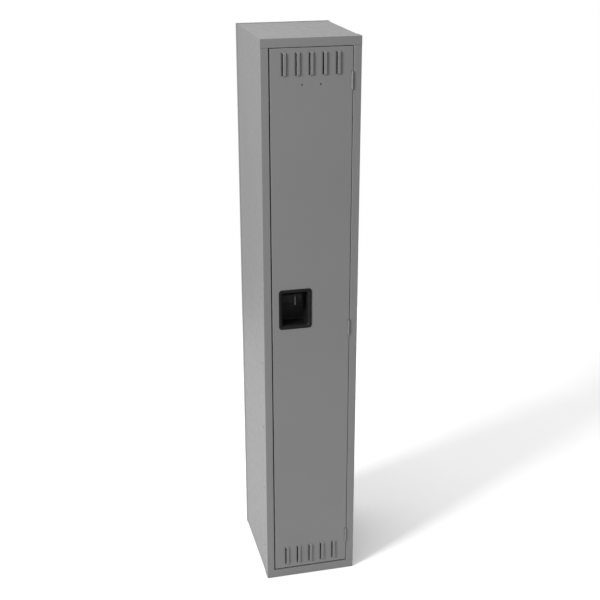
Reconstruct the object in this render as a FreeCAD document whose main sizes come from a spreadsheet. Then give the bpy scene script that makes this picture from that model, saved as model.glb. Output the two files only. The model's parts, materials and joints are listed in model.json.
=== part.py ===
"""Single-tier steel locker cabinet, built up from its sheet-metal pieces, hinges and latch.

Origin: bottom centre of the whole cabinet. +Z is up, the door faces -Y, and +X is to the
right of someone standing in front of it. All sizes are millimetres.
"""
import FreeCAD, Part
import os
import Sketcher

Vector = FreeCAD.Vector
Rotation = FreeCAD.Rotation

# Driving dimensions. Each becomes one cell of the document's spreadsheet.
SIZES = {
    "cabinet_width": 304.8,
    "cabinet_depth": 381.0,
    "cabinet_height": 1828.8,
    "frame_gauge": 1.5,
    "sheet_gauge": 0.8,
    "bend_radius": 1.6,
    "frame_flange": 40.0,
    "upright_face": 24.6,
    "header_face": 27.0,
    "sill_face": 29.5,
    "rebate_depth": 24.0,
    "strike_width": 16.0,
    "back_wrap": 20.0,
    "sheet_flange": 15.0,
    "latch_side_gap": 3.4,
    "hinge_side_gap": 1.8,
    "top_gap": 1.6,
    "bottom_gap": 5.0,
    "door_depth": 19.0,
    "shelf_drop": 240.0,
    "louvre_pitch": 41.0,
    "louvre_height": 69.0,
    "louvre_width": 13.0,
    "louvre_rise": 4.2,
    "louvre_wall": 1.2,
    "louvre_slit": 1.0,
    "louvre_dish_width": 5.6,
    "louvre_dish_depth": 2.0,
    "louvre_margin": 12.5,
    "louvre_offset": 5.2,
    "louvre_count": 5.0,
    "plate_hole_spacing": 57.15,
    "plate_hole_radius": 2.4,
    "plate_hole_drop": 107.0,
    "cup_width": 105.8,
    "cup_height": 132.8,
    "cup_centre_x": -50.9,
    "cup_centre_z": 992.0,
    "cup_depth": 48.0,
    "cup_bezel": 12.0,
    "cup_wall": 2.0,
    "cup_corner": 10.0,
    "bezel_rise": 2.0,
    "eye_gauge": 3.0,
    "eye_hole_radius": 4.75,
    "eye_hole_depth": 6.2,
    "hinge_height": 50.8,
    "knuckle_radius": 3.2,
    "hinge_pin_radius": 1.8,
    "hinge_axis_out": 1.0,
    "hinge_axis_inset": 1.7,
    "hinge_leaf_gauge": 1.3,
    "knuckle_gap": 0.3,
    "running_gap": 0.05,
    "lower_hinge_z": 135.0,
    "middle_hinge_z": 913.0,
    "upper_hinge_z": 1700.5,
    "latch_travel": 8.0,
    "latch_bar_width": 20.0,
    "blade_gauge": 3.0,
    "stud_radius": 3.0,
    "rivet_radius": 2.0,
    "rivet_head_radius": 3.6,
    "rivet_head_height": 1.2,
    "hole_clearance": 0.1,
    "bolt_radius": 2.4,
    "bolt_head_radius": 4.0,
    "bolt_head_height": 1.6,
    "nut_radius": 5.0,
    "nut_height": 3.0,
    "frame_bolt_pitch": 228.6,
    "frame_bolt_count": 8.0,
    "anchor_spacing": 152.4,
    "anchor_hole_radius": 4.0,
    "anchor_drop": 60.0,
    "shelf_gap": 1.2,
    "prong_radius": 2.5,
    "prong_bend": 13.0,
    "hook_plate_gauge": 2.0,
    "wall_hook_drop": 90.0,
}

doc = FreeCAD.newDocument("locker_cabinet")
sheet = doc.addObject("Spreadsheet::Sheet", "Sizes")
for row, (alias, number) in enumerate(SIZES.items(), start=1):
    sheet.set(f"A{row}", alias)
    sheet.set(f"B{row}", str(number))
    sheet.setAlias(f"B{row}", alias)
doc.recompute()


class Size:
    """A length with its value and the spreadsheet expression that it comes from."""

    def __init__(self, value, text):
        self.value = value
        self.text = text

    def __add__(self, other):
        other = as_size(other)
        return Size(self.value + other.value, f"({self.text} + {other.text})")

    def __sub__(self, other):
        other = as_size(other)
        return Size(self.value - other.value, f"({self.text} - {other.text})")

    def __mul__(self, other):
        other = as_size(other)
        return Size(self.value * other.value, f"({self.text} * {other.text})")

    def __truediv__(self, other):
        other = as_size(other)
        return Size(self.value / other.value, f"({self.text} / {other.text})")

    def __neg__(self):
        return Size(-self.value, f"(-1 * {self.text})")

    def __radd__(self, other):
        return as_size(other) + self

    def __rsub__(self, other):
        return as_size(other) - self

    def __rmul__(self, other):
        return as_size(other) * self


def as_size(number):
    if isinstance(number, Size):
        return number
    return Size(float(number), f"({float(number)})")


def cell(alias):
    return Size(SIZES[alias], f"Sizes.{alias}")


def in_order(first, second):
    return sorted((first, second), key=lambda size: size.value)


def bind(target, prop, size):
    target.setExpression(prop, as_size(size).text)


# Levels and planes that several pieces share.
T = cell("frame_gauge")
G = cell("sheet_gauge")
TOP = cell("cabinet_height")
SIDE = cell("cabinet_width") / 2
FRONT = (cell("knuckle_radius") + cell("hinge_axis_out") - cell("bolt_head_height")
         - cell("cabinet_depth")) / 2
BACK = FRONT + cell("cabinet_depth")
PANEL_SIDE = SIDE - T
OPENING_SIDE = SIDE - cell("upright_face")
OPENING_TOP = TOP - cell("header_face")
OPENING_BOTTOM = cell("sill_face")
STRIKE = FRONT + cell("rebate_depth")
STRIKE_EDGE = OPENING_SIDE - cell("strike_width")
DOOR_LEFT = cell("latch_side_gap") - OPENING_SIDE
DOOR_RIGHT = OPENING_SIDE - cell("hinge_side_gap")
DOOR_TOP = OPENING_TOP - cell("top_gap")
DOOR_BOTTOM = OPENING_BOTTOM + cell("bottom_gap")
DOOR_REAR = FRONT + cell("door_depth")
SHELF_TOP = OPENING_TOP - cell("shelf_drop")
HINGE_X = DOOR_RIGHT - cell("hinge_axis_inset")
HINGE_Y = FRONT - cell("hinge_axis_out")
HINGE_LEVELS = {"lower": cell("lower_hinge_z"), "middle": cell("middle_hinge_z"),
                "upper": cell("upper_hinge_z")}

# Latch: the bar, the channel behind it and the hooks on the frame.
LATCH_LEVELS = {"lower": cell("lower_hinge_z") + 50, "middle": cell("cup_centre_z") + 110,
                "upper": cell("upper_hinge_z") - 50}
BAR_FRONT = FRONT + 10
BAR_REAR = BAR_FRONT + T
BAR_LEFT = DOOR_LEFT + T + 0.9
BAR_RIGHT = BAR_LEFT + cell("latch_bar_width")
BAR_BOTTOM = DOOR_BOTTOM + 60
BAR_TOP = DOOR_TOP - 60
BLADE_X = BAR_LEFT + 7
HALF_BLADE = cell("blade_gauge") / 2
STUD = cell("stud_radius")
STUD_X = BAR_LEFT + 15
STUD_LEVELS = [BAR_BOTTOM + 30, LATCH_LEVELS["lower"] + 330, LATCH_LEVELS["middle"] + 260, BAR_TOP - 40]
CHANNEL_GAUGE = G * 1.5
CHANNEL_FRONT = FRONT + 16
CHANNEL_REAR = CHANNEL_FRONT + CHANNEL_GAUGE
CHANNEL_RIGHT = BAR_RIGHT + 3

# Recessed handle: cup, finger lift and padlock eye.
CUP_X = cell("cup_centre_x")
CUP_Z = cell("cup_centre_z")
CUP_WALL = cell("cup_wall")
CUP_REAR = FRONT + cell("cup_depth")
BEZEL_FRONT = FRONT - cell("bezel_rise")
LIFT_BOTTOM = CUP_Z + 11
LIFT_TOP = LIFT_BOTTOM + 35
LIFT_FRONT = BAR_REAR
ARM_GAUGE = as_size(2)
ARM_LOW = LIFT_BOTTOM + 10
ARM_HIGH = ARM_LOW + 24
LIFT_RIVET_SPOTS = [(BAR_LEFT + 10, ARM_LOW + 6), (BAR_LEFT + 10, ARM_LOW + 20)]
HALF_EYE = cell("eye_gauge") / 2
EYE_LOW = LIFT_BOTTOM + 0.5
EYE_HIGH = CUP_Z + 41
EYE_MIDDLE = (EYE_LOW + EYE_HIGH) / 2
EYE_BASE_GAUGE = as_size(3)
EYE_RIVET_SPOTS = [(CUP_X + 10 * side, EYE_MIDDLE) for side in (-1, 1)]

# Hinges: five knuckles on a pin, three on the frame's leaf and two on the door's.
HINGE_HEIGHT = cell("hinge_height")
KNUCKLE = cell("knuckle_radius")
PIN = cell("hinge_pin_radius")
LEAF = cell("hinge_leaf_gauge")
KNUCKLE_PITCH = (HINGE_HEIGHT + cell("knuckle_gap")) / 5
HINGE_RIVET_SPOTS = [(FRONT + 11, level + side * 14) for level in HINGE_LEVELS.values() for side in (-1, 1)]

# Hat shelf and coat hooks.
SHELF_FRONT = STRIKE + T + 14
SHELF_FLANGE = cell("sheet_flange")
PRONG = cell("prong_radius")
PRONG_BEND = cell("prong_bend")
HOOK_PLATE = cell("hook_plate_gauge")
WALL_HOOK_Z = SHELF_TOP - cell("wall_hook_drop")

# Fasteners.
CLEARANCE = cell("hole_clearance")
BOLT = cell("bolt_radius")
BOLT_HOLE = BOLT + CLEARANCE
BOLT_HEAD = (cell("bolt_head_radius"), cell("bolt_head_height"))
RIVET = cell("rivet_radius")
RIVET_HOLE = RIVET + CLEARANCE
RIVET_HEAD = (cell("rivet_head_radius"), cell("rivet_head_height"))
NUT = cell("nut_radius")
NUT_HEIGHT = cell("nut_height")
PITCH = cell("frame_bolt_pitch")
BOLT_COUNT = cell("frame_bolt_count")
FIRST_BOLT_Z = PITCH / 2
FRAME_BOLT_Y = FRONT + cell("frame_flange") - 5
BACK_BOLT_X = PANEL_SIDE - G - cell("sheet_flange") / 2
BEYOND = 1.0  # how far a cutting tool runs past the face that it cuts

PLANES = {"x": "YZ_Plane", "y": "XZ_Plane", "z": "XY_Plane"}
AXES = {"x": "X_Axis", "y": "Y_Axis", "z": "Z_Axis"}


def origin_item(body, role):
    return next(item for item in body.Origin.OriginFeatures if item.Role == role)


def new_body(name):
    body = doc.addObject("PartDesign::Body", name)
    body.Label = name
    body.AllowCompound = True
    return body


def attach(body, item, axis, level):
    """Attach item to the body's own origin plane that faces axis, moved to level."""
    item.AttachmentSupport = [(origin_item(body, PLANES[axis]), "")]
    item.MapMode = "FlatFace"
    bind(item, "AttachmentOffset.Base.z", -level if axis == "y" else level)


def draw_outline(sketch, corners):
    """A closed outline of straight lines, each corner held by its two coordinates."""
    first = sketch.GeometryCount
    count = len(corners)
    ends = [Vector(as_size(across).value, as_size(up).value, 0) for across, up in corners]
    for index in range(count):
        sketch.addGeometry(Part.LineSegment(ends[index], ends[(index + 1) % count]), False)
    for index in range(count):
        after = first + (index + 1) % count
        sketch.addConstraint(Sketcher.Constraint("Coincident", first + index, 2, after, 1))
    for index, corner in enumerate(corners):
        for kind, size in zip(("DistanceX", "DistanceY"), corner):
            value = as_size(size).value
            number = sketch.addConstraint(Sketcher.Constraint(kind, -1, 1, first + index, 1, value))
            bind(sketch, f"Constraints[{number}]", size)


def draw_circle(sketch, centre, radius):
    place = Vector(as_size(centre[0]).value, as_size(centre[1]).value, 0)
    circle = Part.Circle(place, Vector(0, 0, 1), as_size(radius).value)
    index = sketch.addGeometry(circle, False)
    for kind, size in zip(("DistanceX", "DistanceY"), centre):
        value = as_size(size).value
        number = sketch.addConstraint(Sketcher.Constraint(kind, -1, 1, index, 3, value))
        bind(sketch, f"Constraints[{number}]", size)
    number = sketch.addConstraint(Sketcher.Constraint("Radius", index, as_size(radius).value))
    bind(sketch, f"Constraints[{number}]", radius)


def extrude(body, name, axis, start, end, outlines=(), circles=(), cut=False):
    """Pad or pocket a sketch that faces axis, from start to end along that axis."""
    sketch = body.newObject("Sketcher::SketchObject", name + "_sketch")
    attach(body, sketch, axis, start)
    for corners in outlines:
        draw_outline(sketch, corners)
    for centre, radius in circles:
        draw_circle(sketch, centre, radius)
    feature = body.newObject("PartDesign::Pocket" if cut else "PartDesign::Pad", name)
    feature.Profile = sketch
    feature.Reversed = (axis == "y") != cut
    bind(feature, "Length", end - start)
    return feature


def rectangle(low_across, high_across, low_up, high_up):
    return [(low_across, low_up), (high_across, low_up), (high_across, high_up), (low_across, high_up)]


def block(body, name, x, y, z, cut=False):
    """A box between the low and high values given for each axis."""
    kind = "PartDesign::SubtractiveBox" if cut else "PartDesign::AdditiveBox"
    box = body.newObject(kind, name)
    attach(body, box, "z", z[0])
    bind(box, "AttachmentOffset.Base.x", x[0])
    bind(box, "AttachmentOffset.Base.y", y[0])
    bind(box, "Length", x[1] - x[0])
    bind(box, "Width", y[1] - y[0])
    bind(box, "Height", z[1] - z[0])
    return box


def wedge(body, name, outer, inner, cut=False):
    """A four-sided frustum between an outer (front) and an inner (rear) rectangle."""
    kind = "PartDesign::SubtractiveWedge" if cut else "PartDesign::AdditiveWedge"
    piece = body.newObject(kind, name)
    attach(body, piece, "z", as_size(0))
    faces = (("Ymin", ("Xmin", "Xmax", "Zmin", "Zmax"), outer),
             ("Ymax", ("X2min", "X2max", "Z2min", "Z2max"), inner))
    for depth_name, side_names, (depth, sides) in faces:
        bind(piece, depth_name, depth)
        for side_name, size in zip(side_names, sides):
            bind(piece, side_name, size)
    return piece


def repeat(body, name, features, axis, spacing, count):
    """Repeat features count times along axis, spacing apart."""
    pattern = body.newObject("PartDesign::LinearPattern", name)
    pattern.Originals = features
    pattern.Direction = (origin_item(body, AXES[axis]), [""])
    bind(pattern, "Length", spacing * (count - 1))
    bind(pattern, "Occurrences", count)
    body.Tip = pattern
    return pattern


def round_edges(body, name, radius, chosen):
    """Fillet the edges of the body's tip for which chosen(edge) is true."""
    doc.recompute()
    base = body.Tip
    picked = [f"Edge{number}" for number, edge in enumerate(base.Shape.Edges, start=1) if chosen(edge)]
    fillet = body.newObject("PartDesign::Fillet", name)
    fillet.Base = (base, picked)
    bind(fillet, "Radius", radius)
    return fillet


def runs_along(edge, axis):
    """True for a straight edge that is parallel to axis."""
    directions = {"x": Vector(1, 0, 0), "y": Vector(0, 1, 0), "z": Vector(0, 0, 1)}
    if edge.Curve.TypeId != "Part::GeomLine":
        return False
    return abs(abs(edge.Curve.Direction.dot(directions[axis])) - 1) < 1e-6


def lies_at(edge, **levels):
    """True where the middle of an edge lies at the levels given for x, y or z."""
    middle = edge.CenterOfMass
    return all(abs(getattr(middle, axis) - as_size(size).value) < 0.01 for axis, size in levels.items())


# Part primitives, for round pieces and small fasteners.
TURNS = {"x": Rotation(Vector(0, 1, 0), 90), "y": Rotation(Vector(1, 0, 0), -90), "z": Rotation()}


def place(item, position):
    for letter, size in zip("xyz", position):
        bind(item, f"Placement.Base.{letter}", size)


def cylinder(name, axis, position, radius, length):
    item = doc.addObject("Part::Cylinder", name)
    item.Placement = FreeCAD.Placement(Vector(), TURNS[axis])
    place(item, position)
    bind(item, "Radius", radius)
    bind(item, "Height", length)
    return item


def cone(name, axis, position, start_radius, end_radius, length):
    item = doc.addObject("Part::Cone", name)
    item.Placement = FreeCAD.Placement(Vector(), TURNS[axis])
    place(item, position)
    bind(item, "Radius1", start_radius)
    bind(item, "Radius2", end_radius)
    bind(item, "Height", length)
    return item


def hexagon(name, axis, position, radius, length):
    item = doc.addObject("Part::Prism", name)
    item.Polygon = 6
    item.Placement = FreeCAD.Placement(Vector(), TURNS[axis])
    place(item, position)
    bind(item, "Circumradius", radius)
    bind(item, "Height", length)
    return item


def part_box(name, x, y, z):
    item = doc.addObject("Part::Box", name)
    place(item, (x[0], y[0], z[0]))
    bind(item, "Length", x[1] - x[0])
    bind(item, "Width", y[1] - y[0])
    bind(item, "Height", z[1] - z[0])
    return item


def fuse(name, shapes):
    item = doc.addObject("Part::MultiFuse", name)
    item.Shapes = shapes
    item.Label = name
    return item


def subtract(name, base, tool):
    item = doc.addObject("Part::Cut", name)
    item.Base = base
    item.Tool = tool
    item.Label = name
    return item


def moved(position, axis, distance):
    """The position moved by distance along axis."""
    return [size + distance if letter == axis else as_size(size) for letter, size in zip("xyz", position)]


def headed_pins(name, axis, spots, shank, head, direction=1):
    """A group of pins: each has a low domed head at its spot and a shank along direction * axis.

    shank is (radius, length) and head is (radius, height).
    """
    head_radius, head_height = head
    shoulder = head_radius * 0.86
    crown = head_radius * 0.5
    step = head_height / 2
    pieces = []
    for index, spot in enumerate(spots):
        outer_start = spot if direction < 0 else moved(spot, axis, -head_height)
        middle_start = moved(outer_start, axis, step)
        shank_start = moved(spot, axis, -shank[1]) if direction < 0 else spot
        if direction < 0:
            radii = ((head_radius, shoulder), (shoulder, crown))
        else:
            radii = ((crown, shoulder), (shoulder, head_radius))
        pieces.append(cone(f"{name}_head_low_{index}", axis, outer_start, *radii[0], step))
        pieces.append(cone(f"{name}_head_high_{index}", axis, middle_start, *radii[1], step))
        pieces.append(cylinder(f"{name}_shank_{index}", axis, shank_start, *shank))
    return fuse(name, pieces)


def hex_nuts(name, axis, spots):
    """A group of nuts that start at their spots and run along +axis."""
    blanks = [hexagon(f"{name}_blank_{i}", axis, spot, NUT, NUT_HEIGHT) for i, spot in enumerate(spots)]
    bores = [cylinder(f"{name}_bore_{i}", axis, spot, BOLT_HOLE, NUT_HEIGHT) for i, spot in enumerate(spots)]
    return subtract(name, fuse(name + "_blanks", blanks), fuse(name + "_bores", bores))


def bolt_heights():
    return [FIRST_BOLT_Z + PITCH * index for index in range(int(BOLT_COUNT.value))]


def drill_row(body, name, axis, start, end, spot, radius=BOLT_HOLE):
    """Drill the vertical row of bolt holes, first one at spot."""
    hole = extrude(body, name, axis, start, end, circles=[(spot, radius)], cut=True)
    return repeat(body, name + "_row", [hole], "z", PITCH, BOLT_COUNT)


# Front frame: two uprights between a full-width header and sill.
STOP_DROP = as_size(12)


def make_upright(name, side):
    body = new_body(name)
    flange = FRONT + cell("frame_flange")
    outline = [(SIDE, flange), (SIDE, FRONT), (OPENING_SIDE, FRONT), (OPENING_SIDE, STRIKE),
               (STRIKE_EDGE, STRIKE), (STRIKE_EDGE, STRIKE + T), (OPENING_SIDE + T, STRIKE + T),
               (OPENING_SIDE + T, FRONT + T), (SIDE - T, FRONT + T), (SIDE - T, flange)]
    corners = [(across * side, depth) for across, depth in outline]
    extrude(body, name + "_section", "z", OPENING_BOTTOM, OPENING_TOP, [corners])
    round_edges(body, name + "_bends", cell("bend_radius"),
                lambda edge: runs_along(edge, "z") and (lies_at(edge, x=SIDE * side, y=FRONT)
                                                        or lies_at(edge, x=OPENING_SIDE * side, y=FRONT)))
    low, high = in_order(SIDE * side, (SIDE - T) * side)
    drill_row(body, name + "_bolt_hole", "x", low - BEYOND, high + BEYOND, (FRAME_BOLT_Y, FIRST_BOLT_Z))
    return body


def make_rail(name, face_edge, outer_edge, up):
    """Header (up = 1) or sill (up = -1): face, outer flange, end flanges, rebate and door stop."""
    body = new_body(name)
    flange = FRONT + cell("frame_flange")
    inner = outer_edge - T * up
    outline = [(flange, outer_edge), (FRONT, outer_edge), (FRONT, face_edge), (STRIKE + T, face_edge),
               (STRIKE + T, face_edge + T * up), (FRONT + T, face_edge + T * up), (FRONT + T, inner),
               (flange, inner)]
    extrude(body, name + "_section", "x", -SIDE, SIDE, [outline])
    low, high = in_order(face_edge, outer_edge)
    block(body, name + "_left_end", (-SIDE, -PANEL_SIDE), (FRONT, flange), (low, high))
    block(body, name + "_right_end", (PANEL_SIDE, SIDE), (FRONT, flange), (low, high))
    if up > 0:
        block(body, name + "_stop", (-STRIKE_EDGE, STRIKE_EDGE), (STRIKE, STRIKE + T),
              (face_edge - STOP_DROP, face_edge + T))
    round_edges(body, name + "_bends", cell("bend_radius"),
                lambda edge: (runs_along(edge, "x") and lies_at(edge, y=FRONT, z=outer_edge))
                or (runs_along(edge, "x") and lies_at(edge, y=FRONT, z=face_edge)))
    return body


def make_header():
    return make_rail("header", OPENING_TOP, TOP, 1)


def make_sill():
    return make_rail("sill", OPENING_BOTTOM, as_size(0), -1)


# Body sheets.
def make_side_panel(name, side):
    """Flat side sheet with a rear flange turned inwards for the back panel."""
    body = new_body(name)
    start = STRIKE + T + 1
    outer = PANEL_SIDE
    inner = outer - G
    lip = inner - cell("sheet_flange")
    rear = BACK - G
    outline = [(outer, start), (outer, rear), (lip, rear), (lip, rear - G), (inner, rear - G), (inner, start)]
    corners = [(across * side, depth) for across, depth in outline]
    extrude(body, name + "_section", "z", T, TOP - T, [corners])
    low, high = in_order(outer * side, inner * side)
    drill_row(body, name + "_front_hole", "x", low - BEYOND, high + BEYOND, (FRAME_BOLT_Y, FIRST_BOLT_Z))
    drill_row(body, name + "_rear_hole", "y", rear - G - BEYOND, rear + BEYOND,
              (BACK_BOLT_X * side, FIRST_BOLT_Z))
    return body


def make_back_panel():
    """Rear sheet that wraps round both side panels, with bolt holes and two wall-anchor holes."""
    body = new_body("back_panel")
    outer = PANEL_SIDE + G
    wrap = BACK - cell("back_wrap")
    outline = [(-outer, wrap), (-PANEL_SIDE, wrap), (-PANEL_SIDE, BACK - G), (PANEL_SIDE, BACK - G),
               (PANEL_SIDE, wrap), (outer, wrap), (outer, BACK), (-outer, BACK)]
    extrude(body, "back_panel_section", "z", as_size(0), TOP, [outline])
    round_edges(body, "back_panel_bends", G, lambda edge: runs_along(edge, "z")
                and (lies_at(edge, x=outer, y=BACK) or lies_at(edge, x=-outer, y=BACK)))
    start, end = BACK - G - BEYOND, BACK + BEYOND
    for name, across in (("left", -BACK_BOLT_X), ("right", BACK_BOLT_X)):
        drill_row(body, f"back_panel_{name}_hole", "y", start, end, (across, FIRST_BOLT_Z))
    anchor_z = OPENING_TOP - cell("anchor_drop")
    anchors = [((cell("anchor_spacing") / 2 * side, anchor_z), cell("anchor_hole_radius"))
               for side in (-1, 1)]
    extrude(body, "back_panel_anchor_holes", "y", start, end, circles=anchors, cut=True)
    return body


def make_tray(name, low_z, high_z, front_y):
    """A level sheet with its four edges turned down inside the cabinet walls."""
    body = new_body(name)
    across = PANEL_SIDE - G
    rear = BACK - G * 2
    block(body, name + "_blank", (-across, across), (front_y, rear), (low_z, high_z))
    block(body, name + "_hollow", (G - across, across - G), (front_y + G, rear - G),
          (low_z - BEYOND, high_z - G), cut=True)
    return body


def make_top_panel():
    return make_tray("top_panel", TOP - T - cell("sheet_flange"), TOP - T, FRONT + T + 1)


def make_bottom_panel():
    """Floor of the cabinet, level with the top of the sill, on flanges that reach down."""
    return make_tray("bottom_panel", T, OPENING_BOTTOM - T, FRONT + T + 1)


def shelf_bolt_spots(level):
    across = PANEL_SIDE - G - 11
    depths = (FRONT + 100, BACK - 80)
    return [(across * side, depth, level) for side in (-1, 1) for depth in depths]


def make_hat_shelf():
    """Shelf with its front and rear edges turned down; its sides rest on the two supports."""
    body = new_body("hat_shelf")
    rear = BACK - G * 2 - cell("shelf_gap")
    low = SHELF_TOP - SHELF_FLANGE
    outline = [(SHELF_FRONT, low), (SHELF_FRONT, SHELF_TOP), (rear, SHELF_TOP), (rear, low), (rear - G, low),
               (rear - G, SHELF_TOP - G), (SHELF_FRONT + G, SHELF_TOP - G), (SHELF_FRONT + G, low)]
    across = PANEL_SIDE - G - cell("shelf_gap")
    extrude(body, "hat_shelf_section", "x", -across, across, [outline])
    holes = [((x, y), BOLT_HOLE) for x, y, _ in shelf_bolt_spots(SHELF_TOP)]
    extrude(body, "hat_shelf_bolt_holes", "z", SHELF_TOP - G - BEYOND, SHELF_TOP + BEYOND, circles=holes,
            cut=True)
    return body


def make_shelf_support(name, side):
    """Angle on the side panel that carries the side edge of the shelf."""
    body = new_body(name)
    outer = PANEL_SIDE - G
    high = SHELF_TOP - G
    low = high - 18
    ledge = outer - 20
    outline = [(outer, low), (outer, high), (ledge, high), (ledge, high - T), (outer - T, high - T),
               (outer - T, low)]
    corners = [(across * side, level) for across, level in outline]
    extrude(body, name + "_section", "y", FRONT + 60, BACK - 40, [corners])
    holes = [((x, y), BOLT_HOLE) for x, y, _ in shelf_bolt_spots(high) if x.value * side > 0]
    extrude(body, name + "_bolt_holes", "z", high - T - BEYOND, high + BEYOND, circles=holes, cut=True)
    return body


# Cabinet fasteners.
def make_frame_bolts(name, side):
    spots = [(SIDE * side, FRAME_BOLT_Y, level) for level in bolt_heights()]
    return headed_pins(name, "x", spots, (BOLT, T + G + NUT_HEIGHT + 1), BOLT_HEAD, -side)


def make_frame_nuts(name, side):
    start = PANEL_SIDE - G - NUT_HEIGHT if side > 0 else G - PANEL_SIDE
    spots = [(start, FRAME_BOLT_Y, level) for level in bolt_heights()]
    return hex_nuts(name, "x", spots)


def back_bolt_spots(depth):
    return [(BACK_BOLT_X * side, depth, level) for side in (-1, 1) for level in bolt_heights()]


def make_back_bolts():
    shank = (BOLT, G * 2 + NUT_HEIGHT + 1)
    return headed_pins("back_bolts", "y", back_bolt_spots(BACK), shank, BOLT_HEAD, -1)


def make_back_nuts():
    spots = back_bolt_spots(BACK - G * 2 - NUT_HEIGHT)
    return hex_nuts("back_nuts", "y", spots)


def make_shelf_bolts():
    shank = (BOLT, G + T + NUT_HEIGHT + 1)
    return headed_pins("shelf_bolts", "z", shelf_bolt_spots(SHELF_TOP), shank, BOLT_HEAD, -1)


def make_shelf_nuts():
    spots = shelf_bolt_spots(SHELF_TOP - G - T - NUT_HEIGHT)
    return hex_nuts("shelf_nuts", "z", spots)


# Coat hooks: round prongs with ball ends on riveted plates.
def prong(name, start_point, outward):
    """A prong that runs outward along x from its start, then turns upwards to a ball end."""
    lead = as_size(8)
    start = start_point if outward > 0 else moved(start_point, "x", -lead)
    pieces = [cylinder(name + "_lead", "x", start, PRONG, lead)]
    bend = doc.addObject("Part::Torus", name + "_bend")
    bind(bend, "Radius1", PRONG_BEND)
    bind(bend, "Radius2", PRONG)
    bend.Angle3 = 90
    turn = Rotation(Vector(1, 0, 0), 90) * Rotation(Vector(0, 0, 1), -90)
    if outward < 0:
        turn = Rotation(Vector(0, 0, 1), 180) * turn
    bend.Placement = FreeCAD.Placement(Vector(), turn)
    centre = moved(moved(start_point, "x", lead * outward), "z", PRONG_BEND)
    place(bend, centre)
    pieces.append(bend)
    tip_start = moved(centre, "x", PRONG_BEND * outward)
    pieces.append(cylinder(name + "_tip", "z", tip_start, PRONG, as_size(6)))
    ball = doc.addObject("Part::Sphere", name + "_ball")
    bind(ball, "Radius", PRONG + 1.5)
    place(ball, moved(tip_start, "z", as_size(8)))
    pieces.append(ball)
    return pieces


WALL_HOOK_RIVET_LEVELS = [WALL_HOOK_Z - 8.5, WALL_HOOK_Z + 23]
CEILING_HOOK_RIVET_PLACES = [as_size(-17), as_size(17)]


def make_wall_hook(name, side):
    """Single-prong hook on a side wall; it reaches towards the middle of the cabinet."""
    wall = (PANEL_SIDE - G) * side
    face = wall - HOOK_PLATE * side
    low, high = in_order(wall, face)
    middle = as_size(0)
    plate = part_box(name + "_plate", (low, high), (middle - 8, middle + 8),
                     (WALL_HOOK_Z - 14, WALL_HOOK_Z + 30))
    blank = fuse(name + "_blank", [plate] + prong(name, (face, middle, WALL_HOOK_Z), -side))
    holes = [cylinder(f"{name}_hole_{index}", "x", (low - BEYOND, middle, level), RIVET_HOLE,
                      HOOK_PLATE + 2 * BEYOND) for index, level in enumerate(WALL_HOOK_RIVET_LEVELS)]
    return subtract(name, blank, fuse(name + "_holes", holes))


def make_ceiling_hook():
    """Double-prong hook under the hat shelf, with a stem between its plate and its prongs."""
    name = "ceiling_hook"
    high = SHELF_TOP - G
    middle = (FRONT + BACK) / 2
    low = high - HOOK_PLATE
    stem_low = high - 48
    centre_x = as_size(0)
    plate = part_box(name + "_plate", (centre_x - 24, centre_x + 24), (middle - 8, middle + 8), (low, high))
    stem = cylinder(name + "_stem", "z", (centre_x, middle, stem_low - 2), PRONG + 0.5, high - stem_low)
    pieces = [plate, stem]
    for label, side in (("left", -1), ("right", 1)):
        pieces += prong(f"{name}_{label}", (centre_x, middle, stem_low), side)
    holes = [cylinder(f"{name}_hole_{index}", "z", (across, middle, low - BEYOND), RIVET_HOLE,
                      HOOK_PLATE + 2 * BEYOND) for index, across in enumerate(CEILING_HOOK_RIVET_PLACES)]
    return subtract(name, fuse(name + "_blank", pieces), fuse(name + "_holes", holes))


def make_wall_hook_rivets(name, side):
    face = (PANEL_SIDE - G - HOOK_PLATE) * side
    spots = [(face, as_size(0), level) for level in WALL_HOOK_RIVET_LEVELS]
    return headed_pins(name, "x", spots, (RIVET, HOOK_PLATE), RIVET_HEAD, side)


def make_ceiling_hook_rivets():
    level = SHELF_TOP - G - HOOK_PLATE
    spots = [(across, (FRONT + BACK) / 2, level) for across in CEILING_HOOK_RIVET_PLACES]
    return headed_pins("ceiling_hook_rivets", "z", spots, (RIVET, HOOK_PLATE), RIVET_HEAD)


# Hinges.
def make_leaf(name, level, knuckles, leaf_low_x, reach):
    """A leaf plate with fingers that roll round the pin at the numbered knuckles."""
    body = new_body(name)
    low = level - HINGE_HEIGHT / 2
    plate_front = FRONT + 3
    block(body, name + "_plate", (leaf_low_x, leaf_low_x + LEAF), (plate_front, plate_front + reach),
          (low, low + HINGE_HEIGHT))
    for index in knuckles:
        start = low + KNUCKLE_PITCH * index
        end = start + KNUCKLE_PITCH - cell("knuckle_gap")
        extrude(body, f"{name}_knuckle_{index}", "z", start, end, circles=[((HINGE_X, HINGE_Y), KNUCKLE)])
        block(body, f"{name}_finger_{index}", (leaf_low_x, leaf_low_x + LEAF), (HINGE_Y, plate_front + 1),
              (start, end))
    extrude(body, name + "_pin_hole", "z", low - BEYOND, low + HINGE_HEIGHT + BEYOND,
            circles=[((HINGE_X, HINGE_Y), PIN + cell("running_gap"))], cut=True)
    return body


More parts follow.
